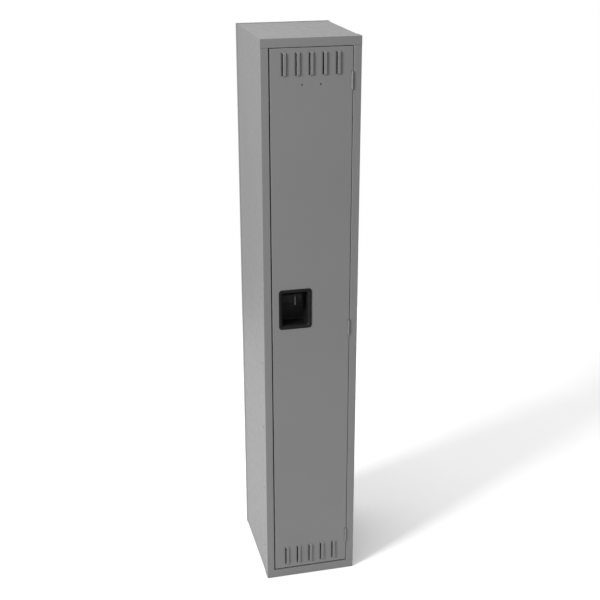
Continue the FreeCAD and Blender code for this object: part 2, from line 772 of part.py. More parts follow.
def make_hinge(label, level):
    """The two leaves and the headed pin of one hinge."""
    frame_leaf_x = OPENING_SIDE - LEAF
    door_leaf_x = DOOR_RIGHT - T - LEAF
    frame_leaf = make_leaf(label + "_hinge_frame_leaf", level, (0, 2, 4), frame_leaf_x, as_size(17))
    door_leaf = make_leaf(label + "_hinge_door_leaf", level, (1, 3), door_leaf_x, as_size(14.5))
    holes = [(spot, RIVET_HOLE) for spot in HINGE_RIVET_SPOTS
             if abs(spot[1].value - level.value) < HINGE_HEIGHT.value / 2]
    extrude(door_leaf, label + "_door_leaf_rivet_holes", "x", door_leaf_x - BEYOND,
            door_leaf_x + LEAF + BEYOND, circles=holes, cut=True)
    pin_low = level - HINGE_HEIGHT / 2
    pin = cylinder(label + "_hinge_pin_rod", "z", (HINGE_X, HINGE_Y, pin_low), PIN, HINGE_HEIGHT)
    head = (KNUCKLE - 0.5, as_size(1))
    heads = [cylinder(f"{label}_hinge_pin_end_{side}", "z", (HINGE_X, HINGE_Y, start), *head)
             for side, start in (("low", pin_low - 1.2), ("high", pin_low + HINGE_HEIGHT + 0.2))]
    necks = [cylinder(f"{label}_hinge_pin_neck_{side}", "z", (HINGE_X, HINGE_Y, start), PIN, as_size(0.4))
             for side, start in (("low", pin_low - 0.3), ("high", pin_low + HINGE_HEIGHT - 0.1))]
    return [frame_leaf, door_leaf, fuse(label + "_hinge_pin", [pin] + heads + necks)]


def make_hinge_rivets():
    spots = [(DOOR_RIGHT - T - LEAF, depth, level) for depth, level in HINGE_RIVET_SPOTS]
    return headed_pins("hinge_rivets", "x", spots, (RIVET, LEAF + T), RIVET_HEAD)


# Latch: hooks on the frame, and a lift bar that rides in the door.
def make_latch_hook(name, level):
    """Foot on the strike and a blade whose nose stands up in front of the latch bar."""
    body = new_body(name)
    foot_front = STRIKE - T
    left = BLADE_X - HALF_BLADE
    right = BLADE_X + HALF_BLADE
    block(body, name + "_foot", (left - 6, right), (foot_front, STRIKE), (level - 16, level + 16))
    root = foot_front + 0.5
    toe = FRONT + 4
    neck = level - 1.6
    nose = level + 4.2
    nose_rear = BAR_FRONT - 0.6
    outline = [(root, level - 8), (root, neck), (nose_rear, neck), (nose_rear, nose), (nose_rear - 1.5, nose),
               (toe, level - 4), (toe, level - 8)]
    extrude(body, name + "_blade", "x", left, right, [outline])
    return body


def make_latch_bar():
    body = new_body("latch_bar")
    block(body, "latch_bar_blank", (BAR_LEFT, BAR_RIGHT), (BAR_FRONT, BAR_REAR), (BAR_BOTTOM, BAR_TOP))
    windows = [rectangle(BLADE_X - 3.5, BLADE_X + 4.5, level - 18, level + 4.8)
               for level in LATCH_LEVELS.values()]
    front, rear = BAR_FRONT - BEYOND, BAR_REAR + BEYOND
    extrude(body, "latch_bar_windows", "y", front, rear, windows, cut=True)
    half = STUD + 0.3
    slots = [rectangle(STUD_X - half, STUD_X + half, level - half - cell("latch_travel"), level + half)
             for level in STUD_LEVELS]
    extrude(body, "latch_bar_slots", "y", front, rear, slots, cut=True)
    holes = [(spot, RIVET_HOLE) for spot in LIFT_RIVET_SPOTS]
    extrude(body, "latch_bar_rivet_holes", "y", front, rear, circles=holes, cut=True)
    return body


def make_finger_lift():
    """Arm on the latch bar that enters the cup's side, and a finger tab forked over the padlock eye."""
    body = new_body("finger_lift")
    tab_left, tab_right = CUP_X - 23, CUP_X + 23
    fork_left, fork_right = CUP_X - HALF_EYE - 0.7, CUP_X + HALF_EYE + 0.7
    fork_top = EYE_HIGH + 1.5
    arm_left = BAR_LEFT + 2
    rear = LIFT_FRONT + ARM_GAUGE
    outline = [(arm_left, ARM_LOW), (tab_left, ARM_LOW), (tab_left, LIFT_BOTTOM), (fork_left, LIFT_BOTTOM),
               (fork_left, fork_top), (fork_right, fork_top), (fork_right, LIFT_BOTTOM),
               (tab_right, LIFT_BOTTOM), (tab_right, LIFT_TOP), (tab_left, LIFT_TOP), (tab_left, ARM_HIGH),
               (arm_left, ARM_HIGH)]
    extrude(body, "finger_lift_plate", "y", LIFT_FRONT, rear, [outline])
    for label, low, high in (("left", tab_left, fork_left), ("right", fork_right, tab_right)):
        block(body, f"finger_lift_{label}_ledge", (low, high), (FRONT + 2.5, LIFT_FRONT + 0.5),
              (LIFT_BOTTOM, LIFT_BOTTOM + T))
    holes = [(spot, RIVET_HOLE) for spot in LIFT_RIVET_SPOTS]
    extrude(body, "finger_lift_rivet_holes", "y", LIFT_FRONT - BEYOND, rear + BEYOND, circles=holes, cut=True)
    return body


def make_lift_rivets():
    spots = [(across, BAR_FRONT, level) for across, level in LIFT_RIVET_SPOTS]
    return headed_pins("lift_rivets", "y", spots, (RIVET, T + ARM_GAUGE), RIVET_HEAD)


def make_latch_bar_studs():
    """Headed guide studs that hold the latch bar to the channel and let it slide up and down."""
    play = 0.4
    spots = [(STUD_X, BAR_FRONT - play, level) for level in STUD_LEVELS]
    shank = (STUD, CHANNEL_FRONT - BAR_FRONT + play)
    return headed_pins("latch_bar_studs", "y", spots, shank, (STUD + 2.5, as_size(1.8)))


def make_latch_channel():
    """Stiffener inside the door's latch side that carries the guide studs and clears the hooks."""
    body = new_body("latch_channel")
    left = DOOR_LEFT + T
    inner = CHANNEL_RIGHT - CHANNEL_GAUGE
    outline = [(left, CHANNEL_FRONT), (inner, CHANNEL_FRONT), (inner, FRONT + T), (CHANNEL_RIGHT, FRONT + T),
               (CHANNEL_RIGHT, CHANNEL_REAR), (left, CHANNEL_REAR)]
    extrude(body, "latch_channel_section", "z", DOOR_BOTTOM + 30, DOOR_TOP - 30, [outline])
    windows = [rectangle(BLADE_X - 4.5, BLADE_X + 5, level - 20, level + 14)
               for level in LATCH_LEVELS.values()]
    front, rear = CHANNEL_FRONT - BEYOND, CHANNEL_REAR + BEYOND
    extrude(body, "latch_channel_windows", "y", front, rear, windows, cut=True)
    arm_window = rectangle(LIFT_FRONT - 4, rear, ARM_LOW - 3, ARM_HIGH + 3 + cell("latch_travel"))
    extrude(body, "latch_channel_arm_window", "x", inner - BEYOND, CHANNEL_RIGHT + BEYOND, [arm_window],
            cut=True)
    return body


# Door.
def add_louvres(body, label, low_z):
    """A row of pressed louvres: a hood raised from the sheet, a slit under it and a dish beside the slit."""
    wall = cell("louvre_wall")
    hood_front = FRONT - cell("louvre_rise")
    high_z = low_z + cell("louvre_height")
    first = cell("louvre_pitch") * -2 - cell("louvre_offset")
    last = first + cell("louvre_width")
    slope = as_size(3)
    hood = wedge(body, f"{label}_louvre_hood",
                 (hood_front, (first + 1.8, last - slope, low_z + slope, high_z - slope)),
                 (FRONT + T / 3, (first, last, low_z, high_z)))
    slit = first - cell("louvre_slit")
    dish_edge = slit - cell("louvre_dish_width")
    dish_floor = FRONT + cell("louvre_dish_depth")
    backing = wedge(body, f"{label}_louvre_backing",
                    (FRONT + T * 0.7, (dish_edge - 0.8, first, low_z, high_z)),
                    (dish_floor + wall, (slit - 0.6, first, low_z + 1.5, high_z - 1.5)))
    dish = wedge(body, f"{label}_louvre_dish", (FRONT, (dish_edge, first, low_z + 0.4, high_z - 0.4)),
                 (dish_floor, (slit - 0.1, first, low_z + 1.5, high_z - 1.5)), cut=True)
    inside_front = (slit, last - slope - 0.6, low_z + slope, high_z - slope)
    inside_rear = (slit, last - wall, low_z + 1.0, high_z - 1.0)
    hollow = wedge(body, f"{label}_louvre_hollow", (hood_front + wall, inside_front),
                   (dish_floor + wall + BEYOND, inside_rear), cut=True)
    repeat(body, label + "_louvre_row", [backing, hood, dish, hollow], "x", cell("louvre_pitch"),
           cell("louvre_count"))


def make_door_panel():
    """Pan-shaped door: front sheet, flanges on four sides, louvres, cut-outs and hinge notches."""
    body = new_body("door_panel")
    block(body, "door_blank", (DOOR_LEFT, DOOR_RIGHT), (FRONT, DOOR_REAR), (DOOR_BOTTOM, DOOR_TOP))
    round_edges(body, "door_bends", cell("bend_radius") - 0.6, lambda edge: lies_at(edge, y=FRONT))
    block(body, "door_hollow", (DOOR_LEFT + T, DOOR_RIGHT - T), (FRONT + T, DOOR_REAR + BEYOND),
          (DOOR_BOTTOM + T, DOOR_TOP - T), cut=True)
    add_louvres(body, "upper", DOOR_TOP - cell("louvre_margin") - cell("louvre_height"))
    add_louvres(body, "lower", DOOR_BOTTOM + cell("louvre_margin"))
    round_edges(body, "door_louvre_edges", cell("louvre_wall") / 2,
                lambda edge: lies_at(edge, y=FRONT - cell("louvre_rise")))
    overlap = 7
    opening_x, opening_z = cell("cup_width") / 2 - overlap, cell("cup_height") / 2 - overlap
    opening = rectangle(CUP_X - opening_x, CUP_X + opening_x, CUP_Z - opening_z, CUP_Z + opening_z)
    skin_front, skin_rear = FRONT - BEYOND, FRONT + T + BEYOND
    extrude(body, "door_cup_opening", "y", skin_front, skin_rear, [opening], cut=True)
    plate_holes = [((cell("plate_hole_spacing") / 2 * side, DOOR_TOP - cell("plate_hole_drop")),
                    cell("plate_hole_radius")) for side in (-1, 1)]
    extrude(body, "door_plate_holes", "y", skin_front, skin_rear, circles=plate_holes, cut=True)
    half = HINGE_HEIGHT / 2 + 1.8
    notches = [rectangle(HINGE_X - KNUCKLE - 0.5, DOOR_RIGHT + BEYOND, level - half, level + half)
               for level in HINGE_LEVELS.values()]
    extrude(body, "door_hinge_notches", "y", skin_front, FRONT + 3, notches, cut=True)
    holes = [(spot, RIVET_HOLE) for spot in HINGE_RIVET_SPOTS]
    extrude(body, "door_rivet_holes", "x", DOOR_RIGHT - T - BEYOND, DOOR_RIGHT + BEYOND, circles=holes,
            cut=True)
    return body


# Recessed handle.
def make_handle_cup():
    """Moulded pocket with a rounded bezel, tapered walls and slots for the lift arm and the eye."""
    body = new_body("handle_cup")
    half_x, half_z = cell("cup_width") / 2, cell("cup_height") / 2
    bezel = rectangle(CUP_X - half_x, CUP_X + half_x, CUP_Z - half_z, CUP_Z + half_z)
    extrude(body, "cup_bezel_plate", "y", BEZEL_FRONT, FRONT, [bezel])
    round_edges(body, "cup_corners", cell("cup_corner"), lambda edge: runs_along(edge, "y"))
    round_edges(body, "cup_bezel_edge", cell("bezel_rise") * 0.6, lambda edge: lies_at(edge, y=BEZEL_FRONT))
    wall = CUP_WALL
    bezel_width = cell("cup_bezel")
    mouth = (CUP_X - half_x + bezel_width, CUP_X + half_x - bezel_width,
             CUP_Z - half_z + bezel_width, CUP_Z + half_z - bezel_width)
    draft = as_size(3)
    well = (mouth[0] + draft, mouth[1] - draft, mouth[2] + draft, mouth[3])
    outside = [(mouth[0] - wall, mouth[1] + wall, mouth[2] - wall, mouth[3] + wall),
               (well[0] - wall, well[1] + wall, well[2] - wall, well[3] + wall)]
    wedge(body, "cup_outside", (FRONT - 0.5, outside[0]), (CUP_REAR, outside[1]))
    wedge(body, "cup_inside", (BEZEL_FRONT, mouth), (CUP_REAR - wall, well), cut=True)
    lead_in = (mouth[0] - 5, mouth[1] + 5, mouth[2] - 7, mouth[3] + 3)
    wedge(body, "cup_lead_in", (BEZEL_FRONT, lead_in), (FRONT + 3, mouth), cut=True)
    round_edges(body, "cup_well_corners", as_size(4), lambda edge: is_well_corner(edge, mouth))
    arm_slot = rectangle(LIFT_FRONT - 1, LIFT_FRONT + ARM_GAUGE + 1, ARM_LOW - 2,
                         ARM_HIGH + 2 + cell("latch_travel"))
    extrude(body, "cup_arm_slot", "x", mouth[0] - 5, mouth[0] + 5, [arm_slot], cut=True)
    play = 0.2
    eye_slot = rectangle(CUP_X - HALF_EYE - play, CUP_X + HALF_EYE + play, EYE_LOW - play, EYE_HIGH + play)
    rear_start, rear_end = CUP_REAR - wall - BEYOND, CUP_REAR + BEYOND
    extrude(body, "cup_eye_slot", "y", rear_start, rear_end, [eye_slot], cut=True)
    holes = [(spot, RIVET_HOLE) for spot in EYE_RIVET_SPOTS]
    extrude(body, "cup_eye_rivet_holes", "y", rear_start, rear_end, circles=holes, cut=True)
    return body


def is_well_corner(edge, mouth):
    """True for the long edges that run down the inside of the cup's well, from mouth to floor."""
    ends = [vertex.Point for vertex in edge.Vertexes]
    if len(ends) < 2 or abs(ends[0].y - ends[1].y) < (cell("cup_depth") / 2).value:
        return False
    left, right, low, high = [size.value for size in mouth]
    return all(left - 0.1 < end.x < right + 0.1 and low - 0.1 < end.z < high + 0.1 for end in ends)


def make_padlock_eye():
    """Fin with the padlock hole, on a base plate behind the cup."""
    body = new_body("padlock_eye")
    base_rear = CUP_REAR + EYE_BASE_GAUGE
    block(body, "padlock_eye_base", (CUP_X - 18, CUP_X + 18), (CUP_REAR, base_rear),
          (EYE_LOW - 4, EYE_HIGH + 4))
    tip = FRONT - 0.7
    root = CUP_REAR + EYE_BASE_GAUGE / 2
    fin = [(tip, EYE_LOW), (root, EYE_LOW), (root, EYE_HIGH), (tip + 7, EYE_HIGH), (tip, EYE_HIGH - 8)]
    extrude(body, "padlock_eye_fin", "x", CUP_X - HALF_EYE, CUP_X + HALF_EYE, [fin])
    round_edges(body, "padlock_eye_nose", as_size(6), lambda edge: lies_at(edge, x=CUP_X, y=tip, z=EYE_LOW))
    shackle = ((FRONT + cell("eye_hole_depth"), EYE_LOW + 7.8), cell("eye_hole_radius"))
    extrude(body, "padlock_eye_hole", "x", CUP_X - HALF_EYE - BEYOND, CUP_X + HALF_EYE + BEYOND,
            circles=[shackle], cut=True)
    holes = [(spot, RIVET_HOLE) for spot in EYE_RIVET_SPOTS]
    extrude(body, "padlock_eye_rivet_holes", "y", CUP_REAR - BEYOND, base_rear + BEYOND, circles=holes,
            cut=True)
    return body


def make_padlock_eye_rivets():
    spots = [(across, CUP_REAR - CUP_WALL, level) for across, level in EYE_RIVET_SPOTS]
    return headed_pins("padlock_eye_rivets", "y", spots, (RIVET, CUP_WALL + EYE_BASE_GAUGE + 0.5), RIVET_HEAD)


def make_silencers():
    """Rubber buttons on the latch-side strike that the door closes against."""
    start = DOOR_REAR + 0.3
    across = DOOR_LEFT + 0.8
    taper = (as_size(2.6), as_size(3.1))
    buttons = [cone(f"{label}_silencer", "y", (across, start, level + 60), *taper, STRIKE - start)
               for label, level in LATCH_LEVELS.items()]
    return fuse("rubber_silencers", buttons)


def make_all():
    """Every piece of the cabinet, the door and the latch, in that order."""
    pieces = [make_header(), make_sill(), make_back_panel(), make_top_panel(), make_bottom_panel(),
              make_hat_shelf(), make_back_bolts(), make_back_nuts(), make_shelf_bolts(), make_shelf_nuts(),
              make_ceiling_hook(), make_ceiling_hook_rivets(), make_silencers()]
    for label, side in (("left", -1), ("right", 1)):
        pieces += [make_upright(label + "_upright", side), make_side_panel(label + "_side_panel", side),
                   make_shelf_support(label + "_shelf_support", side),
                   make_frame_bolts(label + "_frame_bolts", side),
                   make_frame_nuts(label + "_frame_nuts", side),
                   make_wall_hook(label + "_wall_hook", side),
                   make_wall_hook_rivets(label + "_wall_hook_rivets", side)]
    pieces += [make_door_panel(), make_latch_channel(), make_latch_bar_studs(), make_handle_cup(),
               make_padlock_eye(), make_padlock_eye_rivets(), make_hinge_rivets()]
    pieces += [make_latch_bar(), make_finger_lift(), make_lift_rivets()]
    for label, level in LATCH_LEVELS.items():
        pieces.append(make_latch_hook(label + "_latch_hook", level))
    for label, level in HINGE_LEVELS.items():
        pieces += make_hinge(label, level)
    return pieces


def check(pieces):
    """Stop if any object failed to build, or any piece's shape is empty or not valid."""
    for item in doc.Objects:
        if "Invalid" in item.State or "Error" in item.State:
            raise RuntimeError(f"{item.Name} failed: {item.State}")
    for piece in pieces:
        if piece.Shape.isNull() or not piece.Shape.isValid() or not piece.Shape.Solids:
            raise RuntimeError(f"{piece.Label} has no valid solid")


pieces = make_all()
doc.recompute()
check(pieces)
os.makedirs("parts", exist_ok=True)
for piece in pieces:
    piece.Shape.exportStep(os.path.join("parts", piece.Label + ".step"))
print(f"{len(pieces)} pieces written")
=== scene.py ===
"""Looks for the single-tier steel locker: paint, plastic, plated steel, studio and camera."""

import json
import math

import bmesh
import bpy
from mathutils import Matrix, Quaternion, Vector

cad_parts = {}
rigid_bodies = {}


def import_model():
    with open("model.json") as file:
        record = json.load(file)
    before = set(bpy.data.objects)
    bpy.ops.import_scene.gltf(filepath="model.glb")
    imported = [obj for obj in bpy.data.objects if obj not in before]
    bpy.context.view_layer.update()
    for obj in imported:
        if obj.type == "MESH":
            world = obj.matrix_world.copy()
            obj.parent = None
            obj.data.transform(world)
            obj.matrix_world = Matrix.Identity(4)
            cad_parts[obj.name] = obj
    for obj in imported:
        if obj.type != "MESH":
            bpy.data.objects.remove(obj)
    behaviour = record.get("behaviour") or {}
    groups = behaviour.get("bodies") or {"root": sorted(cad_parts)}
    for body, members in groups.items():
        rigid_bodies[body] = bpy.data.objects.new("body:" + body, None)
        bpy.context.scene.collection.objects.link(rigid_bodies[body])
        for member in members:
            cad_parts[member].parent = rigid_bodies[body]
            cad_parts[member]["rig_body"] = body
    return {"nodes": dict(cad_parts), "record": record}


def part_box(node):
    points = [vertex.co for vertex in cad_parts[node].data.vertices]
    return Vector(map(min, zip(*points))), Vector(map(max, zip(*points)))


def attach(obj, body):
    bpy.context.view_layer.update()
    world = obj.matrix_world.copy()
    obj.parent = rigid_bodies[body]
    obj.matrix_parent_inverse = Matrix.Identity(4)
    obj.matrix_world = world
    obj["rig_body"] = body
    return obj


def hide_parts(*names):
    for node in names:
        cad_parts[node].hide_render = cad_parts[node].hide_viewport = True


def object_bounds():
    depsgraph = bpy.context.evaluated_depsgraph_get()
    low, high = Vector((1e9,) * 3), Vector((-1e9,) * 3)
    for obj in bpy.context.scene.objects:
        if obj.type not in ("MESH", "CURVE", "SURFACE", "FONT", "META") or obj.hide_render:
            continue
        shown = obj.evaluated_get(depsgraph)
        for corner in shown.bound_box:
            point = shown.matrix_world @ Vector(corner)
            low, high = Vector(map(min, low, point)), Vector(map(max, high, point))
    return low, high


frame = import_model()
cad_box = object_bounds()

# The camera stands in front and to the left of the locker, above its top.
CAMERA_FROM_FRONT = Vector((-0.7788, -3.0697, 2.2463))
CAMERA_AZIMUTH = math.radians(-13.606)
CAMERA_ELEVATION = math.radians(21.196)
CAMERA_ROLL = math.radians(-0.108)
LENS_MM = 64.76
SENSOR_MM = 36.0


def add_camera():
    data = bpy.data.cameras.new("camera")
    data.lens = LENS_MM
    data.sensor_width = SENSOR_MM
    data.clip_start = 0.05
    data.clip_end = 60.0
    camera = bpy.data.objects.new("camera", data)
    bpy.context.scene.collection.objects.link(camera)
    front_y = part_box("sill")[0].y
    camera.location = Vector((0.0, front_y, 0.0)) + CAMERA_FROM_FRONT
    back = Vector((math.sin(CAMERA_AZIMUTH) * math.cos(CAMERA_ELEVATION),
                   -math.cos(CAMERA_AZIMUTH) * math.cos(CAMERA_ELEVATION),
                   math.sin(CAMERA_ELEVATION)))
    camera.rotation_mode = "QUATERNION"
    camera.rotation_quaternion = Quaternion(back, CAMERA_ROLL) @ (-back).to_track_quat("-Z", "Y")
    bpy.context.scene.camera = camera


class Graph:
    """Short calls for building one material's node graph."""

    def __init__(self, name):
        self.material = bpy.data.materials.new(name)
        self.material.use_nodes = True
        self.tree = self.material.node_tree
        self.shader = self.tree.nodes["Principled BSDF"]
        self.place = self.add("ShaderNodeTexCoord").outputs["Object"]

    def add(self, kind, **settings):
        node = self.tree.nodes.new(kind)
        for key, value in settings.items():
            setattr(node, key, value)
        return node

    def link(self, source, target):
        self.tree.links.new(source, target)

    def noise(self, scale, detail=3.0, roughness=0.5, stretch=None):
        """A noise texture in the locker's own metres, its value from 0 to 1."""
        node = self.add("ShaderNodeTexNoise")
        node.inputs["Scale"].default_value = scale
        node.inputs["Detail"].default_value = detail
        node.inputs["Roughness"].default_value = roughness
        source = self.place
        if stretch:
            mapping = self.add("ShaderNodeMapping")
            mapping.inputs["Scale"].default_value = stretch
            self.link(self.place, mapping.inputs["Vector"])
            source = mapping.outputs["Vector"]
        self.link(source, node.inputs["Vector"])
        return node.outputs["Fac"]

    def spread(self, value, low, high, from_low=0.3, from_high=0.7):
        node = self.add("ShaderNodeMapRange")
        node.inputs["From Min"].default_value = from_low
        node.inputs["From Max"].default_value = from_high
        node.inputs["To Min"].default_value = low
        node.inputs["To Max"].default_value = high
        self.link(value, node.inputs["Value"])
        return node.outputs["Result"]

    def mix(self, factor, first, second):
        """Blend two colours by a factor; each is a colour or a socket."""
        node = self.add("ShaderNodeMix", data_type="RGBA")
        self.link(factor, node.inputs["Factor"])
        for socket, value in ((node.inputs[6], first), (node.inputs[7], second)):
            if isinstance(value, bpy.types.NodeSocket):
                self.link(value, socket)
            else:
                socket.default_value = (*value, 1.0)
        return node.outputs[2]

    def edge_mask(self, radius, sharpness=3.0):
        """1 on sharp outer and inner edges, 0 on flat stretches."""
        rounded = self.add("ShaderNodeBevel", samples=6)
        rounded.inputs["Radius"].default_value = radius
        geometry = self.add("ShaderNodeNewGeometry")
        dot = self.add("ShaderNodeVectorMath", operation="DOT_PRODUCT")
        self.link(rounded.outputs["Normal"], dot.inputs[0])
        self.link(geometry.outputs["Normal"], dot.inputs[1])
        return self.spread(dot.outputs["Value"], 1.0, 0.0, 1.0 - 1.0 / sharpness, 0.995)

    def bump(self, heights):
        """Chain of bumps; heights is a list of (value, strength, distance in metres)."""
        normal = None
        for value, strength, distance in heights:
            node = self.add("ShaderNodeBump")
            node.inputs["Strength"].default_value = strength
            node.inputs["Distance"].default_value = distance
            self.link(value, node.inputs["Height"])
            if normal:
                self.link(normal, node.inputs["Normal"])
            normal = node.outputs["Normal"]
        self.link(normal, self.shader.inputs["Normal"])

    def finish(self, color, roughness, metallic=0.0, specular=0.5):
        self.link(color, self.shader.inputs["Base Color"])
        self.link(roughness, self.shader.inputs["Roughness"])
        self.shader.inputs["Metallic"].default_value = metallic
        self.shader.inputs["Specular IOR Level"].default_value = specular
        return self.material


def grey_paint():
    """Baked enamel on sheet steel: fine orange peel, faint tone drift, and lighter edges that are partly
    thinner paint and partly a painted highlight.
    """
    graph = Graph("grey_paint")
    drift = graph.noise(3.0, 2.0)
    speckle = graph.noise(1400.0, 2.0)
    tone = graph.mix(graph.spread(drift, 0.0, 1.0), (0.100, 0.100, 0.1004), (0.105, 0.105, 0.1054))
    tone = graph.mix(graph.spread(speckle, 0.0, 0.25), tone, (0.114, 0.114, 0.1145))
    # Painted highlight, with thinner paint as well: the bevel edge mask lightens the edges as if light caught
    # the rounded bends.
    edges = graph.spread(graph.edge_mask(0.0008), 0.0, 0.3, 0.0, 1.0)
    tone = graph.mix(edges, tone, (0.125, 0.125, 0.125))
    peel = graph.noise(420.0, 2.0, 0.45)
    fine = graph.noise(1700.0, 1.0)
    graph.bump([(peel, 0.05, 0.0004), (fine, 0.03, 0.0002)])
    return graph.finish(tone, graph.spread(graph.noise(60.0, 4.0), 0.42, 0.50), specular=0.35)


def black_plastic():
    """Moulded ABS with a fine spark-eroded grain."""
    graph = Graph("black_plastic")
    grain = graph.noise(1500.0, 3.0, 0.6)
    tone = graph.mix(graph.spread(graph.noise(25.0, 3.0), 0.0, 1.0), (0.0030, 0.0030, 0.0032),
                     (0.0043, 0.0043, 0.0045))
    # Painted highlight: the edge mask lightens the moulding's edges as if light caught them.
    tone = graph.mix(graph.spread(graph.edge_mask(0.0006), 0.0, 0.4, 0.0, 1.0), tone, (0.014, 0.014, 0.014))
    graph.bump([(grain, 0.25, 0.0003)])
    return graph.finish(tone, graph.spread(graph.noise(90.0, 3.0), 0.44, 0.56), specular=0.12)


def black_steel():
    """Black coated steel whose edges are lighter: partly rubbed bare, partly a painted highlight."""
    graph = Graph("black_steel")
    coat = graph.mix(graph.spread(graph.noise(40.0), 0.0, 1.0), (0.012, 0.012, 0.0125),
                     (0.019, 0.019, 0.0195))
    # Painted highlight, with some rubbed wear: the edge mask lightens the coat on every edge.
    rubbed_and_highlit = graph.mix(graph.spread(graph.edge_mask(0.0007), 0.0, 0.7, 0.0, 1.0), coat, (0.06, 0.06, 0.06))
    graph.bump([(graph.noise(900.0, 2.0), 0.12, 0.0003)])
    return graph.finish(rubbed_and_highlit, graph.spread(graph.noise(120.0, 3.0), 0.34, 0.46))


def zinc_plate():
    """Bright zinc plate with a faint drawn grain and uneven passivation."""
    graph = Graph("zinc_plate")
    cloud = graph.noise(70.0, 4.0, 0.6)
    tone = graph.mix(graph.spread(cloud, 0.0, 1.0), (0.50, 0.50, 0.48), (0.62, 0.61, 0.56))
    # Painted highlight: the edge mask brightens the plated edges as if they caught a glint.
    tone = graph.mix(graph.spread(graph.edge_mask(0.0005), 0.0, 0.5, 0.0, 1.0), tone, (0.72, 0.72, 0.70))
    grain = graph.noise(500.0, 3.0, 0.6, stretch=(1.0, 1.0, 0.04))
    graph.bump([(grain, 0.15, 0.0002)])
    return graph.finish(tone, graph.spread(cloud, 0.26, 0.42), metallic=1.0)


def rubber():
    """Dark moulded rubber."""
    graph = Graph("rubber")
    tone = graph.mix(graph.spread(graph.noise(200.0), 0.0, 1.0), (0.018, 0.018, 0.018), (0.03, 0.03, 0.03))
    graph.bump([(graph.noise(1800.0, 2.0), 0.3, 0.0003)])
    return graph.finish(tone, graph.spread(graph.noise(300.0), 0.75, 0.9))


def pale_floor():
    graph = Graph("pale_floor")
    tone = graph.mix(graph.spread(graph.noise(1.5, 2.0), 0.0, 1.0), (0.70, 0.70, 0.70), (0.72, 0.72, 0.72))
    return graph.finish(tone, graph.spread(graph.noise(4.0), 0.7, 0.8))


# Formed edges: every sheet and fitting gets the small radius that a real cut or pressed edge has.
EDGE_RADII = {"grey_paint": 0.00035, "black_plastic": 0.0004, "black_steel": 0.0004, "zinc_plate": 0.0002,
              "rubber": 0.0003}


def soften_edges(piece, radius):
    """Join the split corners, merge coplanar faces and round what is left of the sharp edges."""
    weld = piece.modifiers.new("weld", "WELD")
    weld.merge_threshold = 0.00001
    merge = piece.modifiers.new("merge_flat", "DECIMATE")
    merge.decimate_type = "DISSOLVE"
    merge.angle_limit = math.radians(0.2)
    bevel = piece.modifiers.new("edge_radius", "BEVEL")
    bevel.width = radius
    bevel.segments = 2
    bevel.limit_method = "ANGLE"
    bevel.angle_limit = math.radians(38)
    bevel.harden_normals = False
    shade = piece.modifiers.new("shade", "WEIGHTED_NORMAL")
    shade.keep_sharp = True
    for face in piece.data.polygons:
        face.use_smooth = True


def finish_nodes(finishes, replaced):
    """Give every carried-over node the finish of its material slot and its edge radius."""
    for entry in frame["record"]["subparts"]:
        if entry["node"] in replaced:
            continue
        piece = frame["nodes"][entry["node"]]
        piece.data.materials.clear()
        piece.data.materials.append(finishes[entry["material_slot"]])
        soften_edges(piece, EDGE_RADII[entry["material_slot"]])


def add_piece(name, mesh, node, finish_name, finishes):
    """Put a mesh in the scene as the piece that stands for a CAD node."""
    mesh.materials.append(finishes[finish_name])
    piece = bpy.data.objects.new(name, mesh)
    bpy.context.scene.collection.objects.link(piece)
    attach(piece, frame["nodes"][node]["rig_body"])
    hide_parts(node)
    return piece


def applied(name, mesh, cutters):
    """The mesh with each cutter's volume taken away."""
    blank = bpy.data.objects.new(name, mesh)
    bpy.context.scene.collection.objects.link(blank)
    tools = []
    for cutter in cutters:
        tool = bpy.data.objects.new("cutter", cutter)
        bpy.context.scene.collection.objects.link(tool)
        cut = blank.modifiers.new("cut", "BOOLEAN")
        cut.operation = "DIFFERENCE"
        cut.solver = "EXACT"
        cut.object = tool
        tools.append(tool)
    bpy.context.view_layer.update()
    evaluated = blank.evaluated_get(bpy.context.evaluated_depsgraph_get())
    result = bpy.data.meshes.new_from_object(evaluated)
    result.name = name
    for item in [blank] + tools:
        bpy.data.objects.remove(item)
    return result


def box_mesh(low, high):
    built = bmesh.new()
    bmesh.ops.create_cube(built, size=1.0)
    middle = (Vector(low) + Vector(high)) / 2
    for corner in built.verts:
        corner.co = Vector([middle[i] + corner.co[i] * (high[i] - low[i]) for i in range(3)])
    mesh = bpy.data.meshes.new("box")
    built.to_mesh(mesh)
    built.free()
    return mesh


def rounded_loop(left, right, low, high, radius, depth, steps=7):
    """Points of a rounded rectangle in the plane y = depth, counter-clockwise seen from the front."""
    points = []
    corners = ((right - radius, low + radius, -90), (right - radius, high - radius, 0),
               (left + radius, high - radius, 90), (left + radius, low + radius, 180))
    for centre_x, centre_z, start in corners:
        for step in range(steps + 1):
            angle = math.radians(start + 90 * step / steps)
            points.append(Vector((centre_x + radius * math.cos(angle), depth,
                                  centre_z + radius * math.sin(angle))))
    return points


def loft(name, loops):
    """A closed skin through the loops in turn, with a flat cap on the first and on the last."""
    built = bmesh.new()
    rings = [[built.verts.new(point) for point in points] for points in loops]
    count = len(rings[0])
    for ring, after in zip(rings, rings[1:]):
        for index in range(count):
            following = (index + 1) % count
            built.faces.new((ring[index], ring[following], after[following], after[index]))
    built.faces.new(list(reversed(rings[0])))
    built.faces.new(rings[-1])
    bmesh.ops.recalc_face_normals(built, faces=built.faces)
    mesh = bpy.data.meshes.new(name)
    built.to_mesh(mesh)
    built.free()
    return mesh


def shade_smooth(piece, angle=35):
    """Smooth shading that keeps edges sharper than the angle."""
    for face in piece.data.polygons:
        face.use_smooth = True
    piece.data.set_sharp_from_angle(angle=math.radians(angle))
    shade = piece.modifiers.new("shade", "WEIGHTED_NORMAL")
    shade.keep_sharp = True


# Moulded handle cup.
BEZEL_RISE = 0.002
BEZEL_WIDTH = 0.012
CUP_WALL = 0.002
DRAFT = 0.003
LEAD_IN = (0.005, 0.005, 0.007, 0.003)
SLOT_PLAY = 0.0006
ARM_GAUGE = 0.002
LATCH_TRAVEL = 0.008


